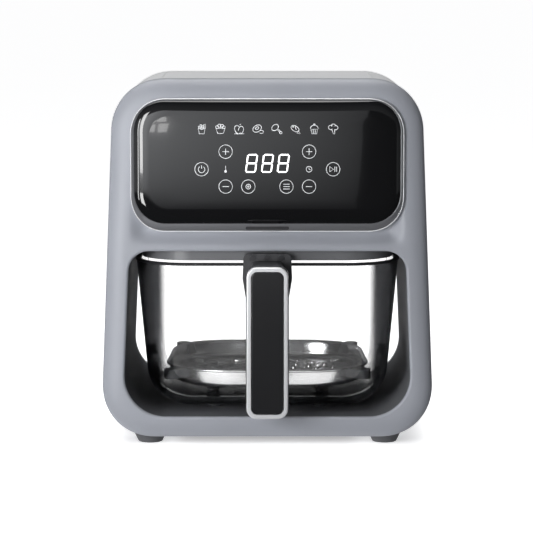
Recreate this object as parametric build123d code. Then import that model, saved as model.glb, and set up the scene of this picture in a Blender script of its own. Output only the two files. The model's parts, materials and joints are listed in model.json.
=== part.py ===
from build123d import *
import os
from math import atan, cos, degrees, radians, sin

# Air fryer with a tunnel body and a glass basket, in millimetres.
# The front faces -Y, +Z is up, and the origin is under the middle of the whole object.

# Driving dimensions of the body
BODY_DEPTH = 262.0
HANDLE_REACH = 47.0          # how far the handle stands in front of the body
FOOT_HEIGHT = 8.8
BODY_TOP = 343.0
BODY_TOP_BACK = 335.0        # the top slopes gently down to the back
BODY_HALF_LOW = 155.4        # half width at the bottom
BODY_HALF_HIGH = 142.2       # half width at the top
BODY_R_LOW = 49.0
BODY_R_HIGH = 50.0
FRONT_ROUND = 12.0
BACK_ROUND = 24.0
WALL = 2.5
FRONT_SHELL_DEPTH = 20.0
REAR_SHELL_DEPTH = 30.0
SEAM = 0.4                   # gap between two covers that lie side by side

# Tunnel that the basket stands in
TUNNEL_LOW = 29.0
TUNNEL_HIGH = 183.8
TUNNEL_HALF_LOW = 134.3
TUNNEL_HALF_HIGH = 127.6
TUNNEL_R_LOW = 38.0
TUNNEL_R_HIGH = 19.0
LINER_WALL = 2.2
LIP_DEPTH = 8.0              # how far the body's lip turns into the tunnel

# Basket
VESSEL_GAP = 12.0            # glass behind the front face
VESSEL_DEPTH = 236.0
VESSEL_BOTTOM = 31.4
VESSEL_TOP = 170.0
VESSEL_HALF_TOP = 123.4
VESSEL_HALF_LOW = 110.2
VESSEL_R_LOW = 38.0
VESSEL_FLOOR_ROUND = 34.0
GLASS = 4.0
GLASS_FLOOR = 6.0
BAND_TOP = 171.5
BAND_HEIGHT = 5.5
BAND_WALL = 1.5
TRAY_HALF = 98.2
TRAY_TOP = 68.6
TRAY_BOTTOM = 50.4
TRAY_R = 62.0
TRAY_SHEET = 1.0

# Handle
GRIP_HALF = 19.1
GRIP_LOW = 34.8
GRIP_HIGH = 174.6
GRIP_THICK = 19.0
GRIP_FRAME = 4.0             # width of the bright frame round the insert

# Control panel
PANEL_HALF = 126.0
PANEL_LOW = 202.4
PANEL_HIGH = 325.6
PANEL_R = 33.0
PANEL_SIDE = 2.8
PANEL_LEDGE = 7.0
PANEL_TOP_EDGE = 1.2
TRIM_THICK = 3.5
LENS_PROUD = 6.0

# Heating head
SKIRT_LOW = 173.6
SKIRT_HALF_X = 118.0
SKIRT_HALF_Y = 114.5
SKIRT_R = 46.0
SKIRT_WALL = 3.0
REFLECTOR_TOP = 238.0
SHIELD_TOP = 248.0
SHEET = 1.0
SHAFT_D = 6.0
SHAFT_LOW = 202.0
SHAFT_HIGH = 307.0
RUNNING_CLEARANCE = 0.05

# Feet
FOOT_X = 110.0
FOOT_TOP_D = 31.0
FOOT_LOW_D = 22.0
FOOT_FROM_FRONT = 36.0
FOOT_FROM_BACK = 50.0

# Places that follow from the sizes above
FRONT = HANDLE_REACH - (BODY_DEPTH + HANDLE_REACH) / 2
BACK = FRONT + BODY_DEPTH
VESSEL_FRONT = FRONT + VESSEL_GAP
BASKET_Y = VESSEL_FRONT + VESSEL_DEPTH / 2
VESSEL_FLARE = VESSEL_HALF_TOP - VESSEL_HALF_LOW
CEILING = TUNNEL_HIGH + LINER_WALL
FOOT_PLACES = {
    "front_left": (-FOOT_X, FRONT + FOOT_FROM_FRONT),
    "front_right": (FOOT_X, FRONT + FOOT_FROM_FRONT),
    "rear_left": (-FOOT_X, BACK - FOOT_FROM_BACK),
    "rear_right": (FOOT_X, BACK - FOOT_FROM_BACK),
}

parts = {}


# ---------------------------------------------------------------- helpers

def prism(corners, radii, y0, y1):
    """A solid along Y whose outline in X and Z has these corners, rounded by these radii."""
    edge = FilletPolyline(*corners, radius=radii, close=True)
    face = make_face(Plane.XZ * edge)
    return Pos(0, y0, 0) * extrude(face, amount=y1 - y0, dir=(0, 1, 0))


def flared_prism(half_low, half_high, low, high, r_low, r_high, y0, y1):
    """A prism along Y that is as wide as 2*half_low at the bottom and 2*half_high at the top."""
    corners = [(-half_low, low), (half_low, low), (half_high, high), (-half_high, high)]
    return prism(corners, [r_low, r_low, r_high, r_high], y0, y1)


def block(x0, x1, y0, y1, z0, z1):
    """A plain box between two corners."""
    middle = Pos((x0 + x1) / 2, (y0 + y1) / 2, (z0 + z1) / 2)
    return middle * Box(x1 - x0, y1 - y0, z1 - z0)


def round_slab(half_x, half_y, radius, z0, z1, middle_y=BASKET_Y):
    """A slab with rounded corners in plan."""
    face = Pos(0, middle_y, z0) * RectangleRounded(2 * half_x, 2 * half_y, radius)
    return extrude(face, amount=z1 - z0)


def pin(x, y, z0, z1, diameter):
    """An upright cylinder."""
    return Pos(x, y, (z0 + z1) / 2) * Cylinder(diameter / 2, z1 - z0)


def pin_y(x, z, y0, y1, diameter):
    """A cylinder along Y."""
    return Pos(x, (y0 + y1) / 2, z) * Rot(90, 0, 0) * Cylinder(diameter / 2, y1 - y0)


def tunnel(grow, y0, y1):
    """The tunnel's outline, grown by some millimetres, as a solid along Y."""
    return flared_prism(
        TUNNEL_HALF_LOW + grow, TUNNEL_HALF_HIGH + grow, TUNNEL_LOW - grow, TUNNEL_HIGH + grow,
        TUNNEL_R_LOW + grow, TUNNEL_R_HIGH + grow, y0, y1)


def half_width(z):
    """Half of the body's width at a height."""
    rise = (z - FOOT_HEIGHT) / (BODY_TOP - FOOT_HEIGHT)
    return BODY_HALF_LOW + (BODY_HALF_HIGH - BODY_HALF_LOW) * rise


def body_solid(inset):
    """The body as a full solid, shrunk by inset on every side."""
    ends = []
    for y, top in ((FRONT + inset, BODY_TOP), (BACK - inset, BODY_TOP_BACK)):
        low, high = BODY_HALF_LOW - inset, half_width(top) - inset
        corners = [(-low, FOOT_HEIGHT + inset), (low, FOOT_HEIGHT + inset), (high, top - inset), (-high, top - inset)]
        radii = [BODY_R_LOW - inset, BODY_R_LOW - inset, BODY_R_HIGH - inset, BODY_R_HIGH - inset]
        edge = FilletPolyline(*corners, radius=radii, close=True)
        ends.append(Pos(0, y, 0) * make_face(Plane.XZ * edge))
    solid = loft(ends, ruled=True)
    front_edges = solid.faces().sort_by(Axis.Y)[0].edges()
    solid = fillet(front_edges, FRONT_ROUND - inset)
    back_edges = solid.faces().sort_by(Axis.Y)[-1].edges()
    return fillet(back_edges, BACK_ROUND - inset)


def shell_wall():
    """The body's outer wall with the tunnel cut through, and a lip turned in at each end."""
    wall = body_solid(0) - body_solid(WALL) - tunnel(0, FRONT - 1, BACK + 1)
    lip_ring = tunnel(LINER_WALL, FRONT + 1, BACK - 1) - tunnel(0, FRONT, BACK)
    lips = lip_ring - block(-200, 200, FRONT + LIP_DEPTH, BACK - LIP_DEPTH, 0, 300)
    return wall + lips


def foot_screw_holes(diameter):
    """Holes for the four foot screws, through the bottom of the body."""
    return [pin(x, y, 0, 30, diameter) for x, y in FOOT_PLACES.values()]


# ---------------------------------------------------------------- body covers

TOP_COVER_HALF = 98.0
TOP_COVER_FRONT = FRONT + 30
TOP_COVER_BACK = BACK - REAR_SHELL_DEPTH - 6
BASE_COVER_HALF = 84.0
BASE_COVER_FRONT = FRONT + 22
BASE_COVER_BACK = BACK - 42
SCREW_D = 3.0
BOSS_D = 8.0
BOSS_INSET = WALL + BOSS_D / 2 - 0.4
REAR_SCREWS = [(side * (half_width(z) - BOSS_INSET), z) for side in (-1, 1) for z in (62, 120, 190, 280)]
REAR_SCREWS += [(side * 106, BODY_TOP_BACK - 6.2) for side in (-1, 1)]
SPLIT_FRONT = FRONT + FRONT_SHELL_DEPTH
SPLIT_REAR = BACK - REAR_SHELL_DEPTH


def make_covers():
    wall = shell_wall()
    for hole in foot_screw_holes(3.6):
        wall = wall - hole
    top_zone = round_slab(
        TOP_COVER_HALF, (TOP_COVER_BACK - TOP_COVER_FRONT) / 2, 18, 320, 360,
        (TOP_COVER_FRONT + TOP_COVER_BACK) / 2)
    base_zone = round_slab(
        BASE_COVER_HALF, (BASE_COVER_BACK - BASE_COVER_FRONT) / 2, 12, 0, 20,
        (BASE_COVER_FRONT + BASE_COVER_BACK) / 2)
    gap_zones = [
        round_slab(TOP_COVER_HALF + SEAM, (TOP_COVER_BACK - TOP_COVER_FRONT) / 2 + SEAM, 18 + SEAM,
                   320, 360, (TOP_COVER_FRONT + TOP_COVER_BACK) / 2),
        round_slab(BASE_COVER_HALF + SEAM, (BASE_COVER_BACK - BASE_COVER_FRONT) / 2 + SEAM, 12 + SEAM,
                   0, 20, (BASE_COVER_FRONT + BASE_COVER_BACK) / 2),
    ]
    parts["top_cover"] = wall & top_zone
    parts["base_cover"] = wall & base_zone
    for zone in gap_zones:
        wall = wall - zone

    front = wall & block(-200, 200, FRONT - 5, SPLIT_FRONT - SEAM / 2, 0, 400)
    panel_hole = prism(
        [(-120, PANEL_LOW + 12), (120, PANEL_LOW + 12), (120, PANEL_HIGH - 6), (-120, PANEL_HIGH - 6)],
        26, FRONT - 1, FRONT + 5)
    parts["front_housing"] = front - panel_hole

    middle = wall & block(-200, 200, SPLIT_FRONT + SEAM / 2, SPLIT_REAR - SEAM / 2, 0, 400)
    rear = wall & block(-200, 200, SPLIT_REAR + SEAM / 2, BACK + 5, 0, 400)
    for x, z in REAR_SCREWS:
        boss = pin_y(x, z, SPLIT_REAR - 18, SPLIT_REAR - SEAM, BOSS_D)
        middle = middle + (boss & body_solid(WALL / 2)) - pin_y(x, z, SPLIT_REAR - 14, BACK, SCREW_D + 0.1)
        seat = pin_y(x, z, SPLIT_REAR + SEAM, BACK - 4, BOSS_D) & body_solid(WALL / 2)
        rear = rear + seat - pin_y(x, z, SPLIT_REAR - 1, BACK + 1, SCREW_D + 0.5)
        rear = rear - pin_y(x, z, BACK - 12, BACK + 1, 6.6)
    for row in range(VENT_ROWS):
        z = VENT_LOW + row * VENT_PITCH
        slot = [(-VENT_HALF, z), (VENT_HALF, z), (VENT_HALF, z + VENT_HEIGHT), (-VENT_HALF, z + VENT_HEIGHT)]
        rear = rear - prism(slot, VENT_HEIGHT / 2 - 0.1, BACK - 6, BACK + 1)
    rear = rear - pin_y(GLAND_X, GLAND_Z, BACK - 6, BACK + 1, GLAND_SEAT_D)
    rear = rear - pin_y(GLAND_X, GLAND_Z, BACK - GLAND_FLANGE, BACK + 1, GLAND_FLANGE_D + 0.4)
    parts["main_housing"] = middle
    parts["rear_cover"] = rear


VENT_ROWS = 7
VENT_LOW = 254.0
VENT_PITCH = 7.6
VENT_HEIGHT = 4.0
VENT_HALF = 62.0
GLAND_X = 96.0
GLAND_Z = 218.0
GLAND_SEAT_D = 14.0
GLAND_FLANGE_D = 18.0
GLAND_FLANGE = 1.2
GLAND_LENGTH = 8.0
DUCT_WALL = 1.5
GLAND_BORE_D = 7.5


def make_rear_fittings():
    sleeve = pin_y(GLAND_X, GLAND_Z, BACK - GLAND_LENGTH, BACK, GLAND_SEAT_D - 0.2)
    flange = pin_y(GLAND_X, GLAND_Z, BACK - GLAND_FLANGE, BACK, GLAND_FLANGE_D)
    collar = pin_y(GLAND_X, GLAND_Z, BACK - GLAND_LENGTH, BACK - WALL - 0.1, GLAND_FLANGE_D)
    bore = pin_y(GLAND_X, GLAND_Z, BACK - 20, BACK + 1, GLAND_BORE_D)
    parts["cord_gland"] = sleeve + flange + collar - bore
    low, high = VENT_LOW - 3, VENT_LOW + VENT_ROWS * VENT_PITCH + 1
    half = VENT_HALF + 4
    duct = prism([(-half, low), (half, low), (half, high), (-half, high)], 6, BACK - 40, BACK - WALL - 0.1)
    low, high, half = low + DUCT_WALL, high - DUCT_WALL, half - DUCT_WALL
    bore = prism([(-half, low), (half, low), (half, high), (-half, high)], 4.5, BACK - 41, BACK)
    parts["exhaust_duct"] = duct - bore
    parts["housing_screws"] = [
        pin_y(x, z, SPLIT_REAR - 13.5, BACK - 12, SCREW_D) + pin_y(x, z, BACK - 12, BACK - 10, 6.0)
        for x, z in REAR_SCREWS]


def make_liner():
    liner = tunnel(LINER_WALL, FRONT + LIP_DEPTH + 0.2, BACK - LIP_DEPTH - 0.2)
    liner = liner - tunnel(0, FRONT, BACK)
    chamber = round_slab(SKIRT_HALF_X - SKIRT_WALL, SKIRT_HALF_Y - SKIRT_WALL, SKIRT_R - SKIRT_WALL, 170, 200)
    liner = liner - chamber
    parts["tunnel_liner"] = liner - pin(0, SWITCH_Y + 5, 170, 200, 6)


def make_feet():
    body = body_solid(0)
    feet_screws = []
    for name, (x, y) in FOOT_PLACES.items():
        cone = Pos(x, y, 9) * Cone(FOOT_LOW_D / 2, FOOT_TOP_D / 2 + 4.5, 18)
        foot = cone - body - pin(x, y, -1, 30, 4) - pin(x, y, -1, 4, 9)
        low_edge = foot.edges().filter_by(GeomType.CIRCLE).group_by(Axis.Z)[0].sort_by(SortBy.RADIUS)[-1]
        parts["foot_" + name] = fillet(low_edge, 1.5)
        feet_screws.append(pin(x, y, 4, 19, 3.2) + pin(x, y, 2, 4, 7))
    parts["foot_screws"] = feet_screws


# ---------------------------------------------------------------- control panel

def panel_outline(inset_side, inset_low, inset_high, y0, y1, radius):
    """A rounded prism along Y inside the panel's outline."""
    half = PANEL_HALF - inset_side
    low, high = PANEL_LOW + inset_low, PANEL_HIGH - inset_high
    return prism([(-half, low), (half, low), (half, high), (-half, high)], radius, y0, y1)


SLOT_HALF = 20.0
SLOT_LOW = PANEL_LOW + 2.2
SLOT_HIGH = SLOT_LOW + 2.6
BOARD_Y = FRONT + 7.5


def make_panel():
    back = FRONT
    trim = panel_outline(0, 0, 0, back - TRIM_THICK, back, PANEL_R)
    trim = trim - panel_outline(PANEL_SIDE, PANEL_LEDGE, PANEL_TOP_EDGE, back - 9, back + 1, PANEL_R - 3)
    slot = [(-SLOT_HALF, SLOT_LOW), (SLOT_HALF, SLOT_LOW), (SLOT_HALF, SLOT_HIGH), (-SLOT_HALF, SLOT_HIGH)]
    trim = trim - prism(slot, 1.2, back - 9, back - 1.2)
    parts["panel_trim"] = trim
    parts["indicator_window"] = prism(slot, 1.2, back - TRIM_THICK + 0.3, back - 1.2)

    lens = panel_outline(PANEL_SIDE, PANEL_LEDGE, PANEL_TOP_EDGE, back - LENS_PROUD, back, PANEL_R - 3)
    lens = fillet(lens.faces().sort_by(Axis.Y)[0].edges(), 3.5)
    lens = lens - panel_outline(8, 14, 8, back - 3, back + 1, PANEL_R - 8)
    spigot = panel_outline(7.6, 12.4, 6.4, back, back + WALL + 1, 25.6)
    spigot = spigot - panel_outline(10, 15, 9, back - 1, back + 9, 23)
    parts["control_panel"] = lens + spigot

    board = block(-112, 112, BOARD_Y, BOARD_Y + 1.6, PANEL_LOW + 19, PANEL_HIGH - 14)
    parts["control_board"] = board
    parts["digit_display"] = block(-26, 26, FRONT - 2.6, BOARD_Y, 253, 279)
    parts["touch_springs"] = [
        pin_y(x, z, FRONT - 2.8, BOARD_Y, 8) - pin_y(x, z, FRONT - 4, BOARD_Y + 1, 6.4)
        for x, z in TOUCH_PLACES]


TOUCH_PLACES = [(side * x, z) for side in (-1, 1) for x, z in ((38.4, 277), (60.5, 260.8), (38.4, 244.8), (17.5, 244.8))]


# ---------------------------------------------------------------- heating head

HEAD_HALF_X = 111.0
HEAD_HALF_Y = 107.5
HEAD_R = 40.0
FLANGE = 6.0
SHIELD_GAP = 6.0
SHAFT_HOLE_D = 14.0
COIL_RADII = (62.0, 83.0)
COIL_D = 6.5
COIL_Z = 195.0
COIL_GAP_DEGREES = 24
SENSOR_PLACE = (-40.0, BASKET_Y + 60)


def coil_ends(radius):
    """Where the two ends of one heating ring are."""
    angles = (90 + COIL_GAP_DEGREES / 2, 90 - COIL_GAP_DEGREES / 2)
    return [(radius * cos(radians(a)), BASKET_Y + radius * sin(radians(a))) for a in angles]


def pan(half_x, half_y, radius, z0, z1, flange_half_x, flange_half_y):
    """A sheet-metal pan, open below, with a flange at its mouth."""
    outer = round_slab(half_x, half_y, radius, z0, z1)
    outer = fillet(outer.faces().sort_by(Axis.Z)[-1].edges(), 8)
    inner = round_slab(half_x - SHEET, half_y - SHEET, radius - SHEET, z0 - 1, z1 - SHEET)
    inner = fillet(inner.faces().sort_by(Axis.Z)[-1].edges(), 8 - SHEET)
    rim = round_slab(flange_half_x, flange_half_y, radius + FLANGE, z0, z0 + SHEET)
    return outer + rim - inner


def make_heating_head():
    skirt = round_slab(SKIRT_HALF_X, SKIRT_HALF_Y, SKIRT_R, SKIRT_LOW, TUNNEL_HIGH)
    skirt = skirt - round_slab(SKIRT_HALF_X - SKIRT_WALL, SKIRT_HALF_Y - SKIRT_WALL,
                               SKIRT_R - SKIRT_WALL, SKIRT_LOW - 1, TUNNEL_HIGH + 1)
    parts["head_skirt"] = skirt & tunnel(-0.02, FRONT, BACK)

    reflector = pan(HEAD_HALF_X, HEAD_HALF_Y, HEAD_R, CEILING, REFLECTOR_TOP,
                    HEAD_HALF_X + FLANGE, HEAD_HALF_Y + FLANGE)
    shield_low = CEILING + SHEET
    shield = pan(HEAD_HALF_X + SHIELD_GAP, HEAD_HALF_Y + SHIELD_GAP, HEAD_R + SHIELD_GAP, shield_low,
                 SHIELD_TOP, HEAD_HALF_X + SHIELD_GAP + FLANGE, HEAD_HALF_Y + SHIELD_GAP + FLANGE)
    blanket = round_slab(HEAD_HALF_X - 6, HEAD_HALF_Y - 6, HEAD_R - 6, REFLECTOR_TOP + 0.2,
                         SHIELD_TOP - SHEET - 0.2)
    holes = [pin(0, BASKET_Y, 220, 260, SHAFT_HOLE_D), pin(*SENSOR_PLACE, 220, 260, 6.4)]
    for radius in COIL_RADII:
        holes += [pin(x, y, 220, 260, COIL_D + 2) for x, y in coil_ends(radius)]
    for hole in holes:
        reflector, shield, blanket = reflector - hole, shield - hole, blanket - hole
    parts["heat_reflector"] = reflector
    parts["heat_shield"] = shield
    parts["insulation_blanket"] = blanket

    rings = []
    for radius in COIL_RADII:
        ends = coil_ends(radius)
        ring = Pos(0, BASKET_Y, COIL_Z) * Torus(radius, COIL_D / 2)
        ring = ring - block(ends[0][0], ends[1][0], BASKET_Y + 20, BASKET_Y + 120, COIL_Z - 9, COIL_Z + 9)
        for x, y in ends:
            ring = ring + pin(x, y, COIL_Z - COIL_D / 2 - 0.5, SHIELD_TOP + 8, COIL_D + 0.6)
        rings.append(ring)
    parts["heating_element"] = rings

    guard_z = TUNNEL_HIGH - 4
    guard = round_slab(SKIRT_HALF_X - SKIRT_WALL - 0.2, SKIRT_HALF_Y - SKIRT_WALL - 0.2,
                       SKIRT_R - SKIRT_WALL, guard_z, guard_z + 1.2)
    guard = guard - round_slab(SKIRT_HALF_X - 8, SKIRT_HALF_Y - 8, SKIRT_R - 8, guard_z - 1, guard_z + 2)
    for radius in range(14, 98, 12):
        ring = pin(0, BASKET_Y, guard_z, guard_z + 1.2, 2 * radius) - pin(0, BASKET_Y, 0, 300, 2 * radius - 3)
        guard = guard + ring
    for angle in range(0, 180, 45):
        reach = 112 if angle == 0 else 99 if angle == 90 else 122
        bar = Pos(0, BASKET_Y, guard_z + 0.6) * Rot(0, 0, angle) * Box(2 * reach, 2.4, 1.2)
        guard = guard + bar
    parts["mesh_guard"] = guard
    parts["temperature_sensor"] = pin(*SENSOR_PLACE, 205, 262, 5.8) + pin(*SENSOR_PLACE, SHIELD_TOP, 252, 11)
    parts["thermal_cutoff"] = (
        pin(-84, BASKET_Y - 30, SHIELD_TOP, SHIELD_TOP + 9, 17)
        + block(-96, -72, BASKET_Y - 36, BASKET_Y - 24, SHIELD_TOP, SHIELD_TOP + 1.5))


# ---------------------------------------------------------------- fan and motor

FAN_LOW = 207.0
FAN_HIGH = 226.0
COOLING_LOW = 252.0
COOLING_HIGH = 263.0
PLATE_Z = 267.0
STATOR_LOW = 272.0
STATOR_HIGH = 294.0
ROTOR_D = 30.0
STATOR_BORE_D = 31.2
STATOR_HALF_X = 33.0
STATOR_HALF_Y = 28.0
TOP_PLATE_Z = 299.0
BUSH_D = 12.0
MOTOR_LEG_X = 56.0
MOTOR_LEG_Y = 24.0


def impeller(tip_radius, hub_d, z0, z1, blades, plate_at_top):
    """A hub, a thin disc and radial blades round the shaft."""
    hub = pin(0, BASKET_Y, z0, z1, hub_d)
    disc_z = z1 - 1.2 if plate_at_top else z0
    wheel = hub + pin(0, BASKET_Y, disc_z, disc_z + 1.2, 2 * tip_radius - 4)
    for step in range(blades):
        blade = Pos(0, BASKET_Y, (z0 + z1) / 2) * Rot(0, 0, step * 360 / blades)
        length = tip_radius - hub_d / 2 + 1
        blade = blade * Pos(hub_d / 2 - 1 + length / 2, 0, 0) * Rot(14, 0, 0) * Box(length, 1.4, z1 - z0 - 1.6)
        wheel = wheel + blade
    return wheel - pin(0, BASKET_Y, z0 - 1, z1 + 1, SHAFT_D)


def make_fan():
    parts["motor_shaft"] = pin(0, BASKET_Y, SHAFT_LOW, SHAFT_HIGH, SHAFT_D)
    parts["hot_air_fan"] = impeller(56, 18, FAN_LOW, FAN_HIGH, 10, True)
    parts["cooling_fan"] = impeller(46, 16, COOLING_LOW, COOLING_HIGH, 12, False)
    nut = Pos(0, BASKET_Y, SHAFT_LOW) * extrude(RegularPolygon(5.6, 6), amount=FAN_LOW - SHAFT_LOW - 0.2)
    parts["fan_nut"] = nut - pin(0, BASKET_Y, SHAFT_LOW - 1, FAN_LOW + 1, SHAFT_D)
    rotor = pin(0, BASKET_Y, STATOR_LOW, STATOR_HIGH, ROTOR_D)
    parts["motor_rotor"] = rotor - pin(0, BASKET_Y, STATOR_LOW - 1, STATOR_HIGH + 1, SHAFT_D)


def corner_places(half_x, half_y):
    """Four places round the fan's axis."""
    return [(sx * half_x, BASKET_Y + sy * half_y) for sx in (-1, 1) for sy in (-1, 1)]


def make_motor():
    plate = block(-MOTOR_LEG_X - 6, MOTOR_LEG_X + 6, BASKET_Y - 30, BASKET_Y + 30, PLATE_Z, PLATE_Z + 2)
    plate = plate - pin(0, BASKET_Y, PLATE_Z - 1, PLATE_Z + 3, BUSH_D)
    for x, y in corner_places(MOTOR_LEG_X, MOTOR_LEG_Y):
        plate = plate + pin(x, y, SHIELD_TOP, PLATE_Z, 8) - pin(x, y, SHIELD_TOP - 1, PLATE_Z + 3, 3.4)
    parts["motor_bracket"] = plate
    parts["motor_screws"] = [
        pin(x, y, PLATE_Z - 10, PLATE_Z + 2, 3.2) + pin(x, y, PLATE_Z + 2, PLATE_Z + 4, 6.4)
        for x, y in corner_places(MOTOR_LEG_X, MOTOR_LEG_Y)]

    core = block(-STATOR_HALF_X, STATOR_HALF_X, BASKET_Y - STATOR_HALF_Y, BASKET_Y + STATOR_HALF_Y,
                 STATOR_LOW, STATOR_HIGH)
    core = core - pin(0, BASKET_Y, 260, 310, STATOR_BORE_D)
    limb = block(-9, 9, BASKET_Y - STATOR_HALF_Y - 24, BASKET_Y - STATOR_HALF_Y, STATOR_LOW + 2, STATOR_HIGH - 2)
    parts["motor_stator"] = core + limb
    coil = block(-16, 16, BASKET_Y - STATOR_HALF_Y - 22, BASKET_Y - STATOR_HALF_Y - 2,
                 STATOR_LOW - 3, STATOR_HIGH + 3)
    coil = fillet(coil.edges().filter_by(Axis.Y), 5)
    parts["motor_winding"] = coil - limb

    top = block(-28, 28, BASKET_Y - 9, BASKET_Y + 9, TOP_PLATE_Z, TOP_PLATE_Z + 2)
    top = top - pin(0, BASKET_Y, TOP_PLATE_Z - 1, TOP_PLATE_Z + 3, BUSH_D)
    for x in (-24, 24):
        top = top + pin(x, BASKET_Y, STATOR_HIGH, TOP_PLATE_Z, 7)
        core_post = pin(x, BASKET_Y, PLATE_Z + 2, STATOR_LOW, 7)
        parts["motor_bracket"] = parts["motor_bracket"] + core_post
    parts["upper_bracket"] = top
    bore = pin(0, BASKET_Y, 240, 320, SHAFT_D + 2 * RUNNING_CLEARANCE)
    parts["shaft_bushes"] = [
        pin(0, BASKET_Y, PLATE_Z - 2, PLATE_Z + 3, BUSH_D) - bore,
        pin(0, BASKET_Y, TOP_PLATE_Z - 1, TOP_PLATE_Z + 4, BUSH_D) - bore]

    board = block(88, 89.6, BASKET_Y - 62, BASKET_Y + 50, SHIELD_TOP + 4, SHIELD_TOP + 70)
    for y in (BASKET_Y - 50, BASKET_Y + 38):
        board = board + block(86, 94, y - 4, y + 4, SHIELD_TOP, SHIELD_TOP + 4)
    board = board + block(89.6, 105, BASKET_Y - 40, BASKET_Y - 16, 270, 290)
    board = board + block(89.6, 108, BASKET_Y + 2, BASKET_Y + 22, 262, 278)
    for z in (284, 296, 308):
        board = board + pin(98, BASKET_Y + 32, z - 4, z + 4, 17)
    parts["power_board"] = board


# ---------------------------------------------------------------- basket switch

SWITCH_Y = VESSEL_FRONT + VESSEL_DEPTH + BAND_WALL + 0.3     # tip of the plunger
SWITCH_Z = 168.4
PLUNGER_D = 4.0
SWITCH_HALF = 9.0


def make_switch():
    guide = block(-SWITCH_HALF, SWITCH_HALF, SWITCH_Y + 1.7, BACK - LIP_DEPTH - 0.6, SWITCH_Z - 5, TUNNEL_HIGH)
    guide = guide - pin_y(0, SWITCH_Z, SWITCH_Y, BACK, PLUNGER_D + 2 * RUNNING_CLEARANCE)
    parts["switch_guide"] = guide
    parts["switch_plunger"] = pin_y(0, SWITCH_Z, SWITCH_Y, BACK - LIP_DEPTH - 0.6 + 1, PLUNGER_D)
    case_y = BACK - LIP_DEPTH + 2.8
    parts["basket_switch"] = block(-SWITCH_HALF + 1, SWITCH_HALF - 1, case_y, case_y + 4.4,
                                   SWITCH_Z - 5, TUNNEL_HIGH)


# ---------------------------------------------------------------- basket

FLARE_ANGLE = degrees(atan(VESSEL_FLARE / (VESSEL_TOP - VESSEL_BOTTOM)))


def vessel_solid(inset, low, high, floor_round):
    """The vessel's flared form as a full solid, shrunk by inset."""
    rise = (low - VESSEL_BOTTOM) / (VESSEL_TOP - VESSEL_BOTTOM)
    half_x = VESSEL_HALF_LOW + VESSEL_FLARE * rise - inset
    half_y = VESSEL_DEPTH / 2 - VESSEL_FLARE + VESSEL_FLARE * rise - inset
    radius = VESSEL_R_LOW + VESSEL_FLARE * rise - inset
    face = Pos(0, BASKET_Y, low) * RectangleRounded(2 * half_x, 2 * half_y, radius)
    solid = extrude(face, amount=high - low, taper=-FLARE_ANGLE)
    if floor_round:
        solid = fillet(solid.faces().sort_by(Axis.Z)[0].edges(), floor_round)
    return solid


def make_vessel():
    outer = vessel_solid(0, VESSEL_BOTTOM, VESSEL_TOP, VESSEL_FLOOR_ROUND)
    inner = vessel_solid(GLASS, VESSEL_BOTTOM + GLASS_FLOOR, VESSEL_TOP + 5, VESSEL_FLOOR_ROUND - GLASS)
    parts["glass_vessel"] = outer - inner
    low = BAND_TOP - BAND_HEIGHT
    band = round_slab(VESSEL_HALF_TOP + BAND_WALL, VESSEL_DEPTH / 2 + BAND_WALL,
                      VESSEL_R_LOW + VESSEL_FLARE + BAND_WALL, low, BAND_TOP)
    mouth = round_slab(VESSEL_HALF_TOP - GLASS, VESSEL_DEPTH / 2 - GLASS,
                       VESSEL_R_LOW + VESSEL_FLARE - GLASS, low - 1, BAND_TOP + 1)
    parts["rim_band"] = band - mouth - vessel_solid(-0.05, low - 8, VESSEL_TOP, 0)


BRACKET_HALF = 23.0
BRACKET_TOP = 181.2
BRACKET_WIDE_Z = 158.0
BRACKET_LOW = 109.5
BRACKET_LOW_HALF = 15.0
NECK_HALF = 15.0
NECK_LOW = 149.0
NECK_HIGH = 176.5
GRIP_FRONT = FRONT - HANDLE_REACH
GRIP_BACK = GRIP_FRONT + GRIP_THICK
FRAME_DEPTH = 6.0
BRACKET_FRONT = VESSEL_FRONT - BAND_WALL - 6.5
SCREW_PLACES = [(x, 177.2) for x in (-13, 0, 13)]


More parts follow.
